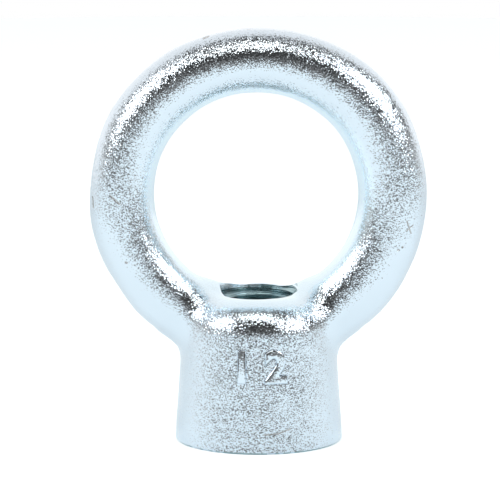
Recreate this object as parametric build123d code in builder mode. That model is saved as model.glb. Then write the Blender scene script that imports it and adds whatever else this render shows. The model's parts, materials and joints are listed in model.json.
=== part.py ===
from build123d import *
import math
import os

# Lifting eye nut for an M12 stud: a ring on a threaded boss, drop forged as one piece,
# then faced at the seat, drilled and tapped.
# The seat is the plane z = 0 and the thread's axis is Z. The ring stands in the XZ plane.
# Millimetres and degrees.

# Ring
eye_bore = 30.6          # clear hole of the eye
bar_diameter = 9.7       # round section of the ring
eye_height = 37.0        # centre of the eye above the seat

# Boss
seat_diameter = 24.8     # across the foot, before its edge is broken
boss_draft = 3.7         # taper of the side, so that the forging leaves its die
pad_rise = 0.3           # flat pad inside the eye, above the eye's lowest point
shoulder_radius = 5.1    # rounding from the pad to the side
neck_blend = 5.2         # hollow between boss and ring
seat_edge = 0.2          # broken edge round the foot

# Thread hole
tap_drill = 10.2         # core hole of an M12 x 1.75 thread
thread_diameter = 12.0
seat_lead_in = 0.3       # lower countersink past the thread, on the radius
mouth_lead_in = 0.6      # upper countersink past the core hole, on the radius
countersink_angle = 90

bar_radius = bar_diameter / 2
ring_radius = eye_bore / 2 + bar_radius
pad_height = eye_height - eye_bore / 2 + pad_rise
seat_radius = seat_diameter / 2
pad_radius = seat_radius - pad_height * math.tan(math.radians(boss_draft))
core_radius = tap_drill / 2
eye_axis = Axis((0, 0, eye_height), (0, 1, 0))
bar_plane = Plane(origin=(0, 0, eye_height - ring_radius), x_dir=(0, 0, 1), z_dir=(1, 0, 0))
seat_plane = Plane(origin=(0, 0, 0), x_dir=(1, 0, 0), z_dir=(0, 0, -1))

os.makedirs("parts", exist_ok=True)

with BuildPart() as eye_nut:
    # Boss: a drafted round with a softly rounded shoulder and a broken seat edge.
    with BuildSketch(Plane.XZ) as boss_profile:
        with BuildLine():
            Polyline((0, 0), (seat_radius, 0), (pad_radius, pad_height), (0, pad_height), close=True)
        make_face()
        seat_corner = boss_profile.vertices().group_by(Axis.Y)[0].sort_by(Axis.X)[-1]
        chamfer(seat_corner, seat_edge)
        shoulder = boss_profile.vertices().group_by(Axis.Y)[-1].sort_by(Axis.X)[-1]
        fillet(shoulder, shoulder_radius)
    revolve(axis=Axis.Z)

    # Ring: the round bar turned about the centre of the eye, from its section inside the boss.
    with BuildSketch(bar_plane):
        Circle(bar_radius)
    revolve(axis=eye_axis)

    # Neck: the creases where ring and boss meet are the only free-form edges so far.
    fillet(eye_nut.edges().filter_by(GeomType.BSPLINE), neck_blend)

    # Thread hole: drilled through from the seat, and countersunk at both ends.
    with Locations(seat_plane):
        CounterSinkHole(core_radius, thread_diameter / 2 + seat_lead_in, eye_height, countersink_angle)
    with Locations(Plane.XY.offset(pad_height)):
        CounterSinkHole(core_radius, core_radius + mouth_lead_in, bar_radius, countersink_angle)

eye_nut.part.label = "eye_nut"
export_step(eye_nut.part, "parts/eye_nut.step")
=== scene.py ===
"""Lifting eye nut: a drop-forged ring on a threaded boss, bright zinc plated.

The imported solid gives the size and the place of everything. The Forging operator
turns a copy of it into the forged, machined and tapped body, and the Studio operator
builds the floor, the soft boxes, the surroundings and the camera.
"""

import json
import math

import bpy
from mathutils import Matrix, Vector

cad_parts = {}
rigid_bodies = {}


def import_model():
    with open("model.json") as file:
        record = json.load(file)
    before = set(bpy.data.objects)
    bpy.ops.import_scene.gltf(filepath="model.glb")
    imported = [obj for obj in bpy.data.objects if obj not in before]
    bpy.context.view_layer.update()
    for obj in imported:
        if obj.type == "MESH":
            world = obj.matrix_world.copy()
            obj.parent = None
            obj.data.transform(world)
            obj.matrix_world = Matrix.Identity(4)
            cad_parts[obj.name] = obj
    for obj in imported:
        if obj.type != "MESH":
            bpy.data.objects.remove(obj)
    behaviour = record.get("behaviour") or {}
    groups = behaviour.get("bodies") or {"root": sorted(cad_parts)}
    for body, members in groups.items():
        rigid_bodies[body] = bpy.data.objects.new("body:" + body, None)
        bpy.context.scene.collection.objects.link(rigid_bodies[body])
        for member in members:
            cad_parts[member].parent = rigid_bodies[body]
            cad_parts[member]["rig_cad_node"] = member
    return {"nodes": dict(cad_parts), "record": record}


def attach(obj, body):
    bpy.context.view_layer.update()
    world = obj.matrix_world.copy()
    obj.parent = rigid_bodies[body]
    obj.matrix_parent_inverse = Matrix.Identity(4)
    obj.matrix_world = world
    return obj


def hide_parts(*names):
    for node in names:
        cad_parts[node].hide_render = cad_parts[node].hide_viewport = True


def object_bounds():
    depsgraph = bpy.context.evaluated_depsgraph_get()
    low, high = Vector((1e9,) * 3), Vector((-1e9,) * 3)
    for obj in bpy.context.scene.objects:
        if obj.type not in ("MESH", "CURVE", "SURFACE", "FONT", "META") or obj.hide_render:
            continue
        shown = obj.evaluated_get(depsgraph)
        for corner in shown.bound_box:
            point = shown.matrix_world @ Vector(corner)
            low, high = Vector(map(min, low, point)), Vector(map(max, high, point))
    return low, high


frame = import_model()
CAD_LOW, CAD_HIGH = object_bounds()

bl_info = {
    "name": "Lifting eye nut",
    "version": (1, 0, 0),
    "blender": (4, 5, 0),
    "location": "View3D > Sidebar > Eye nut",
    "description": "Builds the forged, plated and tapped surface of a lifting eye nut round its solid",
    "category": "Mesh",
}

MM = 0.001
MOUNTS = {mount["name"]: mount for mount in frame["record"]["mounts"]}
EYE_CENTRE = Vector(MOUNTS["eye"]["pos_m"])
RING_OUTSIDE = CAD_HIGH.z - EYE_CENTRE.z
EYE_INSIDE = 15.3 * MM

# Heights above the seat: the flat pad in the eye, which the thread comes out on, and where the
# outside of the ring comes clear of the boss.
PAD_HEIGHT = 22.0 * MM
RING_FREE_HEIGHT = 18 * MM


# ---------------------------------------------------------------- settings


class EyeNutForging(bpy.types.PropertyGroup):
    """Sizes of the forged body that the solid does not hold by itself."""

    grid: bpy.props.FloatProperty(
        name="Surface grid", description="Size of the facets of the forged surface",
        default=0.28 * MM, unit="LENGTH")
    seat_radius: bpy.props.FloatProperty(
        name="Seat radius", description="Radius of the drafted boss at the seat",
        default=12.4 * MM, unit="LENGTH")
    draft: bpy.props.FloatProperty(
        name="Draft", description="Taper of the boss",
        default=math.radians(3.7), subtype="ANGLE")
    land_depth: bpy.props.FloatProperty(
        name="Trimmed depth", description="How far the trimming die cuts into the outside of the ring",
        default=0.08 * MM, unit="LENGTH")
    number_size: bpy.props.FloatProperty(
        name="Number size", description="Type size of the raised number on the boss",
        default=6.4 * MM, unit="LENGTH")
    number_rise: bpy.props.FloatProperty(
        name="Number rise", description="How far the number stands proud of the boss",
        default=0.36 * MM, unit="LENGTH")
    edge_break: bpy.props.FloatProperty(
        name="Edge break", description="Broken edge round the seat",
        default=0.2 * MM, unit="LENGTH")


class EyeNutThread(bpy.types.PropertyGroup):
    """Sizes of the thread and of the openings at its two ends."""

    pitch: bpy.props.FloatProperty(
        name="Pitch", description="Rise of the thread in one turn",
        default=1.75 * MM, unit="LENGTH")
    major_radius: bpy.props.FloatProperty(
        name="Major radius", description="From the axis to the root of the thread's groove",
        default=6.0 * MM, unit="LENGTH")
    core_radius: bpy.props.FloatProperty(
        name="Core radius", description="From the axis to the crest of the thread",
        default=5.1 * MM, unit="LENGTH")
    start: bpy.props.FloatProperty(
        name="Start", description="Turn of the thread about its axis",
        default=math.radians(330), subtype="ANGLE")
    mouth_radius: bpy.props.FloatProperty(
        name="Mouth radius", description="Radius of the opening inside the eye",
        default=5.7 * MM, unit="LENGTH")
    mouth_slope: bpy.props.FloatProperty(
        name="Mouth slope", description="Angle of the opening's chamfer to the axis",
        default=math.radians(38), subtype="ANGLE")
    foot_radius: bpy.props.FloatProperty(
        name="Foot radius", description="Radius of the opening in the seat",
        default=6.3 * MM, unit="LENGTH")


class EyeNutPlating(bpy.types.PropertyGroup):
    """Colours of the zinc."""

    forged_colour: bpy.props.FloatVectorProperty(
        name="Forged skin", description="Colour of the zinc on the skin of the forging",
        default=(0.71, 0.785, 0.85, 1.0), size=4, min=0.0, max=1.0, subtype="COLOR")
    sheared_colour: bpy.props.FloatVectorProperty(
        name="Inside of the eye", description="Colour of the zinc on the smoother band inside the eye",
        default=(0.80, 0.92, 0.99, 1.0), size=4, min=0.0, max=1.0, subtype="COLOR")
    worn_colour: bpy.props.FloatVectorProperty(
        name="Nicks", description="Colour in the nicks, where the zinc is worn",
        default=(0.42, 0.40, 0.38, 1.0), size=4, min=0.0, max=1.0, subtype="COLOR")
    machined_colour: bpy.props.FloatVectorProperty(
        name="Machined faces", description="Colour of the zinc on the thread, the seat and the mouth",
        default=(0.40, 0.54, 0.57, 1.0), size=4, min=0.0, max=1.0, subtype="COLOR")


class EyeNutStudio(bpy.types.PropertyGroup):
    """Floor, lights and camera."""

    camera_distance: bpy.props.FloatProperty(
        name="Camera distance", description="From the centre of the eye to the camera",
        default=0.85, unit="LENGTH")
    camera_elevation: bpy.props.FloatProperty(
        name="Camera elevation", description="Height angle of the camera above the centre of the eye",
        default=math.radians(9.8), subtype="ANGLE")
    field_width: bpy.props.FloatProperty(
        name="Field width", description="Width of the view at the centre of the eye",
        default=0.0742, unit="LENGTH")
    aim_drop: bpy.props.FloatProperty(
        name="Aim drop", description="Middle of the view below the centre of the eye",
        default=0.00839, unit="LENGTH")
    aim_left: bpy.props.FloatProperty(
        name="Aim left", description="Middle of the view left of the centre of the eye",
        default=0.00132, unit="LENGTH")
    floor_radius: bpy.props.FloatProperty(
        name="Floor radius", description="Radius of the pale table top",
        default=0.45, unit="LENGTH")
    floor_colour: bpy.props.FloatVectorProperty(
        name="Floor colour", description="Colour of the table top round the nut",
        default=(0.84, 0.91, 0.94, 1.0), size=4, min=0.0, max=1.0, subtype="COLOR")
    lamp_level: bpy.props.FloatProperty(
        name="Lamp level", description="Brightness of the soft boxes' faces, where 1 is plain white",
        default=4.3, min=0.0, subtype="UNSIGNED")


SETTINGS = {
    "eye_nut_forging": EyeNutForging,
    "eye_nut_thread": EyeNutThread,
    "eye_nut_plating": EyeNutPlating,
    "eye_nut_studio": EyeNutStudio,
}


# ---------------------------------------------------------------- shader maths


class Socket:
    """An output socket that Python's operators turn into Math nodes."""

    def __init__(self, graph, output):
        self.graph = graph
        self.output = output

    def _math(self, operation, *values):
        return self.graph.node("ShaderNodeMath", {"operation": operation}, dict(enumerate(values)))

    def __add__(self, other):
        return self._math("ADD", self, other)

    def __radd__(self, other):
        return self._math("ADD", other, self)

    def __sub__(self, other):
        return self._math("SUBTRACT", self, other)

    def __rsub__(self, other):
        return self._math("SUBTRACT", other, self)

    def __mul__(self, other):
        return self._math("MULTIPLY", self, other)

    def __rmul__(self, other):
        return self._math("MULTIPLY", other, self)

    def __neg__(self):
        return self._math("MULTIPLY", self, -1.0)

    def __abs__(self):
        return self._math("ABSOLUTE", self)

    def at_least(self, other):
        return self._math("MAXIMUM", self, other)

    def at_most(self, other):
        return self._math("MINIMUM", self, other)

    def power(self, other):
        return self._math("POWER", self, other)

    def step(self, start, end):
        """Runs smoothly from 0 at start to 1 at end."""
        settings = {"interpolation_type": "SMOOTHSTEP", "clamp": True}
        sockets = {"Value": self, "From Min": start, "From Max": end, "To Min": 0.0, "To Max": 1.0}
        return self.graph.node("ShaderNodeMapRange", settings, sockets)


class Graph:
    """A node tree under construction."""

    def __init__(self, tree):
        self.tree = tree
        tree.nodes.clear()

    def node(self, kind, settings=None, sockets=None, output=0):
        """Adds a node, its settings first, then the values or links of its sockets."""
        made = self.tree.nodes.new(kind)
        for name, value in (settings or {}).items():
            setattr(made, name, value)
        for key, value in (sockets or {}).items():
            if isinstance(value, Socket):
                self.tree.links.new(value.output, made.inputs[key])
            else:
                made.inputs[key].default_value = value
        return Socket(self, made.outputs[output]) if made.outputs else None

    def vector(self, operation, sockets, output=0):
        """A Vector Math node. A number, such as a distance, leaves it by output 1."""
        return self.node("ShaderNodeVectorMath", {"operation": operation}, sockets, output)

    def place(self):
        """The place on the piece, in metres from the origin."""
        return self.node("ShaderNodeTexCoord", output="Object")

    def light_path(self, kind):
        """1 for the light rays of one kind."""
        return self.node("ShaderNodeLightPath", output=kind)

    def split(self, vector):
        """The three parts of a vector."""
        parts = self.node("ShaderNodeSeparateXYZ", None, {0: vector})
        return [Socket(self, output) for output in parts.output.node.outputs]

    def mix(self, factor, first, second):
        """A colour between two colours, which have sockets 6 and 7 of a Mix node."""
        sockets = {"Factor": factor, 6: first, 7: second}
        return self.node("ShaderNodeMix", {"data_type": "RGBA"}, sockets, output=2)

    def noise(self, place, size, detail):
        """Soft noise with swells of about one size."""
        sockets = {"Vector": place, "Scale": 1 / size, "Detail": detail}
        return self.node("ShaderNodeTexNoise", None, sockets)

    def bump(self, height):
        """The normal of a relief whose height is in metres."""
        return self.node("ShaderNodeBump", None, {"Height": height, "Strength": 1.0, "Distance": 1.0})

    def distance_to_line(self, place, start, end):
        """How far a place is from the straight line between two points."""
        along = end - start
        offset = self.vector("SUBTRACT", {0: place, 1: start})
        share = self.vector("DOT_PRODUCT", {0: offset, 1: along / along.length_squared}, output=1)
        share = share.at_least(0.0).at_most(1.0)
        foot = self.vector("SCALE", {0: along, "Scale": share})
        return self.vector("DISTANCE", {0: offset, 1: foot}, output=1)


def new_material(name):
    material = bpy.data.materials.new(name)
    material.use_nodes = True
    return material, Graph(material.node_tree)


def grey(value):
    return (value, value, value, 1.0)


# ---------------------------------------------------------------- shaping


def choose(*pieces):
    """Selects only these pieces and makes the first one active."""
    bpy.ops.object.select_all(action="DESELECT")
    for piece in pieces:
        piece.select_set(True)
    bpy.context.view_layer.objects.active = pieces[0]


def settle(piece):
    """Puts the piece's place, turn and size into its mesh."""
    choose(piece)
    bpy.ops.object.transform_apply(location=True, rotation=True, scale=True)


def apply_modifiers(piece):
    choose(piece)
    for modifier in list(piece.modifiers):
        bpy.ops.object.modifier_apply(modifier=modifier.name)


def merge_doubles():
    """Merges the vertices that lie in one place. It runs in edit mode."""
    bpy.ops.mesh.select_all(action="SELECT")
    bpy.ops.mesh.remove_doubles(threshold=0.001 * MM)


def join_up(piece):
    """Joins loose triangles along their edges, and closes slivers that have no width."""
    choose(piece)
    bpy.ops.object.mode_set(mode="EDIT")
    merge_doubles()
    bpy.ops.object.mode_set(mode="OBJECT")


def close_up(piece):
    """Joins the faces of a closed piece, and turns them outwards."""
    choose(piece)
    bpy.ops.object.mode_set(mode="EDIT")
    merge_doubles()
    bpy.ops.mesh.normals_make_consistent(inside=False)
    bpy.ops.object.mode_set(mode="OBJECT")


def outline(name, points):
    """A line of edges through (radius, height) points, drawn in the plane of X and Z."""
    bpy.ops.object.select_all(action="DESELECT")
    bpy.ops.mesh.primitive_plane_add(size=MM)
    piece = bpy.context.object
    piece.name = name
    bpy.ops.object.mode_set(mode="EDIT")
    bpy.ops.mesh.select_all(action="SELECT")
    bpy.ops.mesh.merge(type="CENTER")
    bpy.ops.transform.translate(value=(points[0][0], 0, points[0][1]))
    for (radius, height), (next_radius, next_height) in zip(points, points[1:]):
        step = (next_radius - radius, 0, next_height - height)
        bpy.ops.mesh.extrude_region_move(TRANSFORM_OT_translate={"value": step})
    bpy.ops.object.mode_set(mode="OBJECT")
    return piece


def sweep_round(piece, steps, turns=1, rise=0.0):
    """Sweeps an outline round Z, in so many steps a turn, and up by the rise in each turn."""
    screw = piece.modifiers.new("screw", "SCREW")
    screw.steps = steps
    screw.render_steps = steps
    screw.iterations = turns
    screw.screw_offset = rise
    apply_modifiers(piece)


def turned(name, points, steps=128):
    """A solid turned about Z, from points that run from axis to axis or close in a loop."""
    piece = outline(name, points)
    sweep_round(piece, steps)
    close_up(piece)
    return piece


def combine(piece, tool, operation="DIFFERENCE"):
    """Cuts the piece with the tool, or joins the two, and clears the tool away."""
    modifier = piece.modifiers.new("combine", "BOOLEAN")
    modifier.object = tool
    modifier.operation = operation
    modifier.solver = "MANIFOLD"
    apply_modifiers(piece)
    if not piece.data.polygons:
        raise RuntimeError(f"Nothing is left of {piece.name} after {tool.name}")
    bpy.data.objects.remove(tool)


def ripple(piece, name, size, depth, detail=0):
    """Moves the surface in and out by a soft noise."""
    texture = bpy.data.textures.new(name, "CLOUDS")
    texture.noise_scale = size
    texture.noise_depth = detail
    modifier = piece.modifiers.new(name, "DISPLACE")
    modifier.texture = texture
    modifier.texture_coords = "LOCAL"
    modifier.strength = depth
    modifier.mid_level = 0.5


def select_only(piece, kind, chosen):
    """Selects only the chosen vertices (VERT) or faces (FACE), and leaves edit mode open."""
    choose(piece)
    bpy.ops.object.mode_set(mode="EDIT")
    bpy.ops.mesh.select_mode(type=kind)
    bpy.ops.mesh.select_all(action="DESELECT")
    bpy.ops.object.mode_set(mode="OBJECT")
    parts = piece.data.vertices if kind == "VERT" else piece.data.polygons
    for part in parts:
        part.select = chosen(part)
    bpy.ops.object.mode_set(mode="EDIT")


def sculpt(piece, chosen, step, reach):
    """Moves the chosen places by a step, and draws what is round them along as far as the reach."""
    select_only(piece, "VERT", lambda vertex: chosen(vertex.co))
    bpy.ops.transform.translate(
        value=step, use_proportional_edit=True, proportional_edit_falloff="SMOOTH",
        proportional_size=reach, use_proportional_connected=False)
    bpy.ops.object.mode_set(mode="OBJECT")


def pull(piece, place, step, reach):
    """Moves the surface nearest to a place. The place, the step and the reach are in millimetres."""
    centre = Vector(place) * MM
    nearest = min((vertex.co - centre).length for vertex in piece.data.vertices)
    patch = nearest + 0.3 * MM
    sculpt(piece, lambda at: (at - centre).length < patch, Vector(step) * MM, reach * MM)


def give_material(piece, material, chosen):
    """Adds a material to the piece, and gives it to the chosen faces."""
    piece.data.materials.append(material)
    select_only(piece, "FACE", chosen)
    piece.active_material_index = len(piece.data.materials) - 1
    bpy.ops.object.material_slot_assign()
    bpy.ops.object.mode_set(mode="OBJECT")


# ---------------------------------------------------------------- forging


# Where the ring is fuller or flatter than its circle: the angle round the eye in degrees, counted
# up from the right, then the radius, the step away from the eye's centre and the reach, in
# millimetres.
RING_PULLS = (
    (40, 25.0, 0.26, 12),
    (100, 25.0, -0.28, 11),
    (78, 25.0, -0.2, 8),
    (172, 25.0, -0.14, 6),
    (148, 25.0, 0.06, 6),
    (-164, 25.0, 0.15, 8),
    (-32, 25.0, 0.16, 9),
    (-50, 25.0, 0.22, 6),
    (-133, 25.0, 0.48, 7),
    (180, 15.3, -0.05, 12),
    (130, 15.3, -0.03, 8),
    (-150, 15.3, -0.03, 8),
    (-30, 15.3, -0.06, 8),
    (4, 15.3, -0.13, 10),
)

# The same at the two ends of the neck, and on the pad round the back of the thread's mouth: the
# place, the step and the reach, in millimetres.
NECK_PULLS = (
    ((-13.6, 0, 15.8), (-0.21, 0, -0.28), 2.6),
    ((13.5, 0, 15.8), (0.18, 0, -0.24), 2.6),
    ((0, 6.8, 21.9), (0, 0, 0.2), 5),
    ((-6.0, 3.0, 22.9), (0, 0, 0.8), 4.5),
    ((6.6, 3.0, 22.9), (0, 0, 0.75), 4),
)

NUMBER_HEIGHT = 12.7 * MM
MOUTH_CLEARANCE = 4 * MM


def boss_radius(forging, height):
    return forging.seat_radius - height * math.tan(forging.draft)


def blank(forging, thread):
    """The rough forging: the solid with its hole filled, and with stock below its seat."""
    choose(frame["nodes"]["eye_nut"])
    bpy.ops.object.duplicate()
    piece = bpy.context.object
    del piece["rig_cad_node"]
    piece.name = "forging"
    piece.data.materials.clear()
    join_up(piece)
    stock = 2 * MM
    foot_top = 10 * MM
    inside_thread = thread.major_radius - 0.1 * MM
    plug = turned("plug", [(0, -stock), (inside_thread, -stock),
                           (inside_thread, PAD_HEIGHT), (0, PAD_HEIGHT)])
    foot = turned("foot", [(0, -stock), (boss_radius(forging, -stock), -stock),
                           (boss_radius(forging, foot_top), foot_top), (0, foot_top)])
    choose(piece, plug, foot)
    bpy.ops.object.join()
    return piece


def even_out(piece, grid):
    """Fuses the blank's parts into one even mesh, and smooths away its facets."""
    choose(piece)
    piece.data.remesh_voxel_size = grid
    piece.data.remesh_voxel_adaptivity = 0.0
    bpy.ops.object.voxel_remesh()
    smooth = piece.modifiers.new("smooth", "SMOOTH")
    smooth.factor = 0.5
    smooth.iterations = 3
    apply_modifiers(piece)


def trimming_die(forging):
    """The die that shears the flash off round the outside of the ring, down to the neck."""
    inner = RING_OUTSIDE - forging.land_depth
    outer = RING_OUTSIDE + 2 * MM
    half = 3 * MM
    die = turned("trimming_die", [(inner, -half), (outer, -half), (outer, half), (inner, half),
                                  (inner, -half)], 256)
    die.rotation_euler.x = math.radians(90)
    die.location = EYE_CENTRE
    settle(die)
    bpy.ops.object.select_all(action="DESELECT")
    block = 40 * MM
    bpy.ops.mesh.primitive_cube_add(size=block, location=(0, 0, RING_FREE_HEIGHT - block / 2))
    combine(die, bpy.context.object)
    return die


def raised_number(piece, forging):
    """The size number that the die leaves on the front of the boss, one digit at a time."""
    apart = math.radians(12.5)
    for digit, turn in (("1", -apart), ("2", apart)):
        bpy.ops.object.select_all(action="DESELECT")
        bpy.ops.object.text_add()
        figure = bpy.context.object
        figure.name = "figure_" + digit
        figure.data.body = digit
        figure.data.align_x = "CENTER"
        figure.data.align_y = "CENTER"
        figure.data.size = forging.number_size
        figure.data.offset = 0.02 * MM
        figure.data.extrude = 1.0 * MM
        figure.data.bevel_depth = 0.3 * MM
        figure.data.bevel_resolution = 2
        figure.data.resolution_u = 6
        bpy.ops.object.convert(target="MESH")
        out = boss_radius(forging, NUMBER_HEIGHT) + forging.number_rise - figure.dimensions.z / 2
        figure.rotation_euler = (math.radians(90) - forging.draft, 0, turn)
        figure.location = (out * math.sin(turn), -out * math.cos(turn), NUMBER_HEIGHT)
        settle(figure)
        close_up(figure)
        combine(piece, figure, "UNION")


def set_ring(piece):
    """Shifts the ring a little off the boss, and its hole a little off the ring."""
    off_boss = -0.25 * MM
    off_ring = 0.14 * MM
    above_neck = 26 * MM
    skin = 0.5 * MM
    long_reach = 8 * MM
    short_reach = 5 * MM
    centre = EYE_CENTRE + Vector((off_boss, 0, 0))

    def out(at):
        return math.hypot(at.x - centre.x, at.z - centre.z)

    def inside(at):
        return out(at) < EYE_INSIDE + skin

    def outside(at):
        return out(at) > RING_OUTSIDE - skin and at.z > RING_FREE_HEIGHT

    sculpt(piece, lambda at: at.z > above_neck, (off_boss, 0, 0), long_reach)
    sculpt(piece, inside, (-off_ring, 0, 0), short_reach)
    sculpt(piece, outside, (off_ring, 0, 0), short_reach)


def shape_outline(piece):
    """Makes the ring and the neck fuller or flatter in places, as a worn die leaves them."""
    for angle, radius, step, reach in RING_PULLS:
        turn = math.radians(angle)
        outwards = Vector((math.cos(turn), 0, math.sin(turn)))
        pull(piece, EYE_CENTRE / MM + outwards * radius, outwards * step, reach)
    for place, step, reach in NECK_PULLS:
        pull(piece, place, step, reach)


def roughen(piece):
    """Swells and scale of the forged skin, which also gains what the smoothing took off."""
    skin = piece.modifiers.new("skin", "DISPLACE")
    skin.strength = 0.08 * MM
    skin.mid_level = 0.0
    ripple(piece, "swell", 5.0 * MM, 0.08 * MM)
    ripple(piece, "scale", 1.4 * MM, 0.03 * MM, 1)
    apply_modifiers(piece)


def foot_depth(thread):
    return thread.foot_radius - thread.core_radius


def facing_tool(forging):
    """The tool that faces the seat and breaks its edge."""
    stock = 3 * MM
    around = 16 * MM
    lip = 0.6 * MM
    flat = forging.seat_radius - forging.edge_break
    return turned("facing", [(0, -stock), (around, -stock), (around, lip),
                             (flat + lip, lip), (flat, 0), (0, 0)])


def foot_sink(thread):
    """The countersink at the seat."""
    depth = foot_depth(thread)
    return turned("foot_sink", [(0, -MM), (thread.foot_radius + MM, -MM),
                                (thread.core_radius, depth), (0, depth)])


def mouth_sink(thread):
    """The slightly tilted countersink in the pad inside the eye."""
    tilt = math.radians(-5)
    drop = (thread.mouth_radius - thread.core_radius) / math.tan(thread.mouth_slope)
    tool = turned("mouth_sink", [(0, -drop), (thread.core_radius, -drop),
                                 (thread.mouth_radius, 0), (thread.mouth_radius, MOUTH_CLEARANCE),
                                 (0, MOUTH_CLEARANCE)])
    tool.rotation_euler = (tilt, tilt, 0)
    tool.location.z = PAD_HEIGHT
    settle(tool)
    return tool


def close_end(tool, beyond):
    """Closes one open end of a wound tool with faces that meet in its middle.

    Beyond is true of the places at that end.
    """
    bpy.ops.object.mode_set(mode="EDIT")
    merge_doubles()
    bpy.ops.mesh.select_all(action="DESELECT")
    bpy.ops.mesh.select_mode(type="VERT")
    bpy.ops.mesh.select_non_manifold()
    bpy.ops.object.mode_set(mode="OBJECT")
    for vertex in tool.data.vertices:
        vertex.select = vertex.select and beyond(vertex.co)
    for edge in tool.data.edges:
        edge.select = edge.select and all(tool.data.vertices[i].select for i in edge.vertices)
    for polygon in tool.data.polygons:
        polygon.select = False
    bpy.ops.object.mode_set(mode="EDIT")
    bpy.ops.mesh.extrude_edges_move()
    bpy.ops.mesh.merge(type="CENTER")
    bpy.ops.object.mode_set(mode="OBJECT")


def tap(thread):
    """A tap: the groove's sixty-degree profile wound up the axis, and closed at both ends."""
    low = -3 * MM
    high = PAD_HEIGHT + 2 * MM
    middle = (low + high) / 2
    depth = thread.major_radius - thread.core_radius
    flank = depth * math.tan(math.radians(30))
    root = thread.pitch / 8
    crest = thread.pitch - 2 * flank - root
    turns = math.ceil((high - low) / thread.pitch) + 1
    tool = outline("tap", [(thread.core_radius, low),
                           (thread.core_radius, low + crest),
                           (thread.major_radius, low + crest + flank),
                           (thread.major_radius, low + crest + flank + root),
                           (thread.core_radius, low + thread.pitch)])
    sweep_round(tool, 96, turns, thread.pitch)
    tool.rotation_euler.z = thread.start
    settle(tool)
    close_end(tool, lambda at: at.z < middle)
    close_end(tool, lambda at: at.z > middle)
    close_up(tool)
    return tool


def machine(piece, forging, thread):
    """Faces the seat, sinks both ends of the hole and taps the thread."""
    combine(piece, facing_tool(forging))
    combine(piece, foot_sink(thread))
    combine(piece, mouth_sink(thread))
    combine(piece, tap(thread))
    join_up(piece)


class EYENUT_OT_forging(bpy.types.Operator):
    """Makes the forged, machined and tapped body of the eye nut"""

    bl_idname = "eyenut.forging"
    bl_label = "Forging"

    def execute(self, context):
        forging = context.scene.eye_nut_forging
        thread = context.scene.eye_nut_thread
        piece = blank(forging, thread)
        even_out(piece, forging.grid)
        combine(piece, trimming_die(forging))
        raised_number(piece, forging)
        set_ring(piece)
        shape_outline(piece)
        roughen(piece)
        machine(piece, forging, thread)
        piece.name = "eye_nut_forging"
        plate(piece, forging, thread, context.scene.eye_nut_plating)
        choose(piece)
        bpy.ops.mesh.customdata_custom_splitnormals_clear()
        bpy.ops.object.shade_smooth_by_angle(angle=math.radians(30))
        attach(piece, "root")
        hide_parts("eye_nut")
        return {"FINISHED"}


# ---------------------------------------------------------------- plating


# Nicks on the front, as seen face on: the start and the end of each, as X and Z, and half of its
# width, in millimetres.
NICKS = (
    ((-22.0, 37.5), (-20.6, 36.3), 0.18),
    ((-24.6, 36.9), (-24.5, 35.3), 0.12),
    ((21.9, 33.6), (22.5, 31.7), 0.13),
    ((22.8, 32.9), (21.8, 32.1), 0.11),
    ((20.6, 29.3), (20.7, 29.3), 0.20),
    ((21.2, 29.7), (21.3, 29.7), 0.17),
    ((-19.7, 27.5), (-19.5, 27.4), 0.18),
    ((-12.3, 24.5), (-12.2, 24.4), 0.18),
    ((0.8, 3.0), (2.8, 3.1), 0.14),
    ((2.8, 3.1), (4.5, 3.7), 0.14),
    ((-3.6, 61.7), (-1.3, 61.8), 0.15),
    ((2.2, 61.8), (2.9, 61.8), 0.14),
    ((-8.2, 60.4), (-7.4, 60.7), 0.14),
)


def nick_distance(graph, place, y):
    """The distance to the nearest nick, in halves of its width. Behind the middle it is 1 or more."""
    face_on = graph.vector("MULTIPLY", {0: place, 1: (1.0, 0.0, 1.0)})
    nearest = None
    for start, end, half in NICKS:
        low, high = (Vector((x, 0, z)) * MM for x, z in (start, end))
        distance = graph.distance_to_line(face_on, low, high) * (1 / (half * MM))
        nearest = distance if nearest is None else nearest.at_most(distance)
    return nearest.at_least(y.step(-0.5 * MM, 0.0))


def crystal_normal(graph, place, normal, tilt):
    """Tips the normal of each small crystal its own way."""
    cells = {"Vector": place, "Scale": 1 / (0.12 * MM)}
    crystal = graph.node("ShaderNodeTexVoronoi", {"feature": "F1"}, cells, output=1)
    tip = graph.vector("SUBTRACT", {0: crystal, 1: (0.5, 0.5, 0.5)})
    facet = graph.vector("SCALE", {0: tip, "Scale": tilt})
    tipped = graph.vector("ADD", {0: normal, 1: facet})
    return graph.vector("NORMALIZE", {0: tipped})


def finish_metal(graph, colour, roughness, normal):
    """Ends a material in a bare metal."""
    shader = graph.node("ShaderNodeBsdfPrincipled", None, {
        "Base Color": colour, "Metallic": 1.0, "Roughness": roughness, "Normal": normal})
    graph.node("ShaderNodeOutputMaterial", None, {"Surface": shader})


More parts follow.
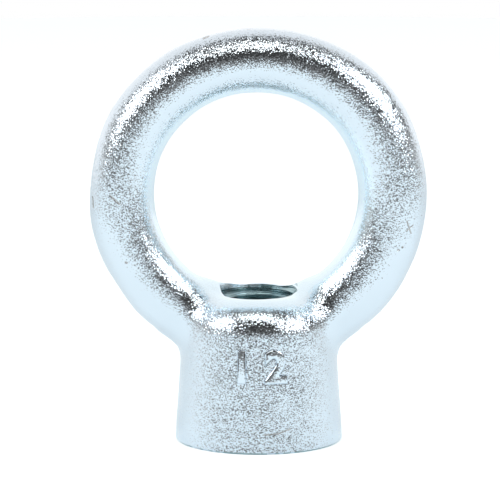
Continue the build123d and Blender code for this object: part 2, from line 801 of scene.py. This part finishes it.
def forged_zinc(plating, name, roughened):
    """Zinc on the forged skin: small crystals that each tip their own way, and nicks."""
    material, graph = new_material(name)
    place = graph.place()
    x, y, z = graph.split(place)
    across = x - EYE_CENTRE.x
    up = z - EYE_CENTRE.z
    out = (across * across + up * up).power(0.5)
    sheared = 1.0 - out.step(EYE_INSIDE + 0.4 * MM, EYE_INSIDE + 2.6 * MM)
    die_wall = 1.0 - z.step(13.0 * MM, 17.0 * MM)
    grain = (1.0 - sheared * 0.6) * (1.0 - die_wall * 0.25) * roughened

    fine = graph.noise(place, 0.22 * MM, 0.0)
    fine_height = 0.035 * MM
    swell = graph.noise(place, 1.2 * MM, 1.0)
    swell_height = 0.03 * MM
    nick = nick_distance(graph, place, y)
    nick_depth = 0.09 * MM
    facet_tilt = 0.34
    relief = fine * grain * fine_height + swell * swell_height + nick.step(0.2, 1.0) * nick_depth
    normal = crystal_normal(graph, place, graph.bump(relief), grain * facet_tilt)

    worn = 1.0 - nick.step(0.4, 1.1)
    zinc = graph.mix(sheared, plating.forged_colour, plating.sheared_colour)
    colour = graph.mix(worn * 0.7, zinc, plating.worn_colour)
    roughness = 0.045 + sheared * 0.22 + worn * 0.2
    finish_metal(graph, colour, roughness, normal)
    return material


def machined_zinc(plating):
    """Zinc on the tapped and faced surfaces: fine tool marks and a deeper colour."""
    material, graph = new_material("zinc_on_machining")
    place = graph.place()
    x, y, z = graph.split(place)
    radius = (x * x + y * y).power(0.5)
    feed = graph.node("ShaderNodeTexNoise", {"noise_dimensions": "1D"}, {
        "W": (radius + z) * (1 / MM), "Scale": 3.2, "Detail": 2.0})
    chatter = graph.noise(place, 0.5 * MM, 2.0)
    feed_height = 0.10 * MM
    chatter_height = 0.03 * MM
    relief = feed * feed_height + chatter * chatter_height
    finish_metal(graph, plating.machined_colour, 0.2, graph.bump(relief))
    return material


def plate(piece, forging, thread, plating):
    """Gives the skin, the machined surfaces and the raised number each their own zinc."""
    piece.data.materials.clear()
    piece.data.materials.append(forged_zinc(plating, "zinc_on_forging", 1.0))
    hair = 0.02 * MM
    proud_of_boss = 0.2 * MM
    front = -8 * MM
    number_low = 9.5 * MM
    number_high = 15.5 * MM
    bore = (thread.major_radius + hair, PAD_HEIGHT - hair)
    mouth = (thread.mouth_radius + hair, PAD_HEIGHT + MOUTH_CLEARANCE)
    foot = (thread.foot_radius + hair, foot_depth(thread))

    def machined(face):
        out = math.hypot(face.center.x, face.center.y)
        up = face.center.z
        hole = any(out < radius and up < height for radius, height in (bore, mouth, foot))
        return hole or up < forging.edge_break

    def number(face):
        at = face.center
        proud = math.hypot(at.x, at.y) - boss_radius(forging, at.z)
        return proud > proud_of_boss and at.y < front and number_low < at.z < number_high

    give_material(piece, machined_zinc(plating), machined)
    give_material(piece, forged_zinc(plating, "zinc_on_number", 0.55), number)


# ---------------------------------------------------------------- studio


LAMP_DISTANCE = 0.6
WHITE = (1.0, 1.0, 1.0)
WARM_WHITE = (1.0, 0.985, 0.95)

# Each soft box: its name, its azimuth and elevation, its width and height as angles, all in
# degrees, its share of the lamp level, and its colour.
SOFT_BOXES = (
    ("left_soft_box", -65, 32, 27, 28, 1.0, WHITE),
    ("right_soft_box", 63, 33, 31, 28, 1.0, WHITE),
    ("top_soft_box", -2, 67, 36, 15, 0.9, WARM_WHITE),
)


def polar(azimuth, elevation, distance):
    """A point round the eye: azimuth 0 is the camera's side, and 90 is the right."""
    a, e = math.radians(azimuth), math.radians(elevation)
    way = Vector((math.sin(a) * math.cos(e), -math.cos(a) * math.cos(e), math.sin(e)))
    return EYE_CENTRE + distance * way


def soft_box(name, azimuth, elevation, width, height, level, colour):
    """A rectangular soft box that faces the eye. Width and height are angles in degrees."""
    place = polar(azimuth, elevation, LAMP_DISTANCE)
    aim = (EYE_CENTRE - place).to_track_quat("-Z", "Y")
    bpy.ops.object.light_add(type="AREA", location=place, rotation=aim.to_euler())
    lamp = bpy.context.object
    lamp.name = name
    lamp.data.shape = "RECTANGLE"
    lamp.data.size = 2 * LAMP_DISTANCE * math.tan(math.radians(width / 2))
    lamp.data.size_y = 2 * LAMP_DISTANCE * math.tan(math.radians(height / 2))
    lamp.data.energy = level * math.pi * lamp.data.size * lamp.data.size_y
    lamp.data.color = colour


def studio_world():
    """White to the camera, but in the metal a white sweep behind the nut and a dark room in front.

    Angles are in degrees, and brightness is a share of plain white.
    """
    world = bpy.data.worlds.new("studio_world")
    world.use_nodes = True
    graph = Graph(world.node_tree)
    x, y, z = graph.split(graph.node("ShaderNodeTexCoord", output="Generated"))
    degrees = 180.0 / math.pi
    room_middle = 6.0
    azimuth = graph.node("ShaderNodeMath", {"operation": "ARCTAN2"}, {0: x, 1: -y}) * degrees
    side = abs(azimuth - room_middle)
    height = graph.node("ShaderNodeMath", {"operation": "ARCSINE"}, {0: z}) * degrees

    setback = height.step(60.0, 74.0) * 42.0
    sweep = (side - setback).step(100.0, 117.0)
    low = 1.0 - height.step(4.0, 24.0)
    low_level = 0.21 + side.step(60.0, 88.0) * 0.28
    high = height.step(46.0, 58.0) * (1.0 - height.step(58.0, 68.0)) * side.step(30.0, 55.0)
    high_level = 0.28
    dark_level = 0.055
    room = dark_level + low * low_level + high * high_level
    ceiling = height.step(63.0, 80.0)
    wall = 1.0 + (1.0 - height.step(10.0, 45.0)) * 0.12 - ceiling * 0.66
    level = room * (1.0 - sweep) + wall * sweep
    warmth = (1.0 - sweep) * 0.03
    surroundings = graph.node("ShaderNodeCombineColor", None, {
        0: level * (1.0 + warmth), 1: level, 2: level * (1.0 - warmth)})
    colour = graph.mix(graph.light_path("Is Camera Ray"), surroundings, grey(1.0))
    shader = graph.node("ShaderNodeBackground", None, {"Color": colour, "Strength": 1.0})
    graph.node("ShaderNodeOutputWorld", None, {"Surface": shader})
    bpy.context.scene.world = world


def floor_material(near_colour):
    """Pale table top: white to the camera but for the shadow, and pale in the metal. It holds painted
    shade: it is painted darker towards the camera's side, and behind the nut it is painted darker in
    the metal, as a painted shadow.
    """
    material, graph = new_material("pale_table")
    y = graph.split(graph.place())[1]
    # Painted shade: the dark brown that the table is painted towards on the camera's side.
    painted_shade_colour = (0.25, 0.23, 0.18, 1.0)
    metal_tint = (0.92, 1.0, 1.04, 1.0)
    # Painted shade: from 0.17 to 0.45 m in front of the nut the table is painted darker, half-way to
    # the dark brown, and its lift in the metal drops with it, so that the metal shows shade on the
    # camera's side.
    dim = (-y).step(0.17, 0.45) * 0.5
    cover = graph.mix(dim, near_colour, painted_shade_colour)
    table = graph.node("ShaderNodeBsdfDiffuse", None, {"Color": cover})
    camera = graph.light_path("Is Camera Ray")
    glossy = graph.light_path("Is Glossy Ray")
    tint = graph.mix(camera, metal_tint, grey(1.0))
    camera_lift = 0.48
    # Painted shadow: behind the nut the table's lift in the metal is lowered, as if the nut shaded the
    # table there.
    metal_lift_with_painted_shadow = 0.25 - y.step(0.0, 0.06) * 0.12
    strength = camera * camera_lift + glossy * (1.0 - dim) * metal_lift_with_painted_shadow
    lift = graph.node("ShaderNodeEmission", None, {"Color": tint, "Strength": strength})
    both = graph.node("ShaderNodeAddShader", None, {0: table, 1: lift})
    graph.node("ShaderNodeOutputMaterial", None, {"Surface": both})
    return material


def add_floor(context, setup):
    """A round table top at the height of the seat."""
    bpy.ops.object.select_all(action="DESELECT")
    bpy.ops.mesh.primitive_circle_add(
        vertices=128, radius=setup.floor_radius, fill_type="NGON", location=(0, 0, CAD_LOW.z))
    floor = context.object
    floor.name = "floor"
    floor.data.materials.append(floor_material(setup.floor_colour))


def add_camera(context, setup):
    """A camera on the front side, which aims a little below and beside the centre of the eye."""
    place = polar(0, math.degrees(setup.camera_elevation), setup.camera_distance)
    back = (place - EYE_CENTRE).normalized()
    right = Vector((1, 0, 0))
    up = back.cross(right)
    aim = EYE_CENTRE - right * setup.aim_left - up * setup.aim_drop
    look = (aim - place).to_track_quat("-Z", "Y").to_matrix()
    bpy.ops.object.camera_add(location=place, rotation=look.to_euler())
    camera = context.object
    camera.name = "camera"
    sensor_width = 36.0
    camera.data.sensor_width = sensor_width
    camera.data.lens = sensor_width * setup.camera_distance / setup.field_width
    camera.data.clip_start = 0.01
    camera.data.clip_end = 10.0
    context.scene.camera = camera


class EYENUT_OT_studio(bpy.types.Operator):
    """Builds the floor, the soft boxes, the surroundings and the camera"""

    bl_idname = "eyenut.studio"
    bl_label = "Studio"

    def execute(self, context):
        setup = context.scene.eye_nut_studio
        add_floor(context, setup)
        studio_world()
        for name, azimuth, elevation, width, height, share, colour in SOFT_BOXES:
            soft_box(name, azimuth, elevation, width, height, setup.lamp_level * share, colour)
        add_camera(context, setup)
        context.scene.view_settings.view_transform = "Standard"
        return {"FINISHED"}


# ---------------------------------------------------------------- add-on


class EYENUT_PT_panel(bpy.types.Panel):
    """Lists the settings and the operators of the eye nut."""

    bl_label = "Eye nut"
    bl_idname = "EYENUT_PT_panel"
    bl_space_type = "VIEW_3D"
    bl_region_type = "UI"
    bl_category = "Eye nut"

    def draw(self, context):
        for name, group in SETTINGS.items():
            box = self.layout.box()
            box.label(text=name.removeprefix("eye_nut_").capitalize())
            for setting in group.__annotations__:
                box.prop(getattr(context.scene, name), setting)
        self.layout.operator(EYENUT_OT_forging.bl_idname)
        self.layout.operator(EYENUT_OT_studio.bl_idname)


CLASSES = (*SETTINGS.values(), EYENUT_OT_forging, EYENUT_OT_studio, EYENUT_PT_panel)


def register():
    for made in CLASSES:
        bpy.utils.register_class(made)
    for name, group in SETTINGS.items():
        setattr(bpy.types.Scene, name, bpy.props.PointerProperty(type=group))


def unregister():
    for name in SETTINGS:
        delattr(bpy.types.Scene, name)
    for made in reversed(CLASSES):
        bpy.utils.unregister_class(made)


def main():
    register()
    bpy.ops.eyenut.forging()
    bpy.ops.eyenut.studio()


if __name__ == "__main__":
    main()
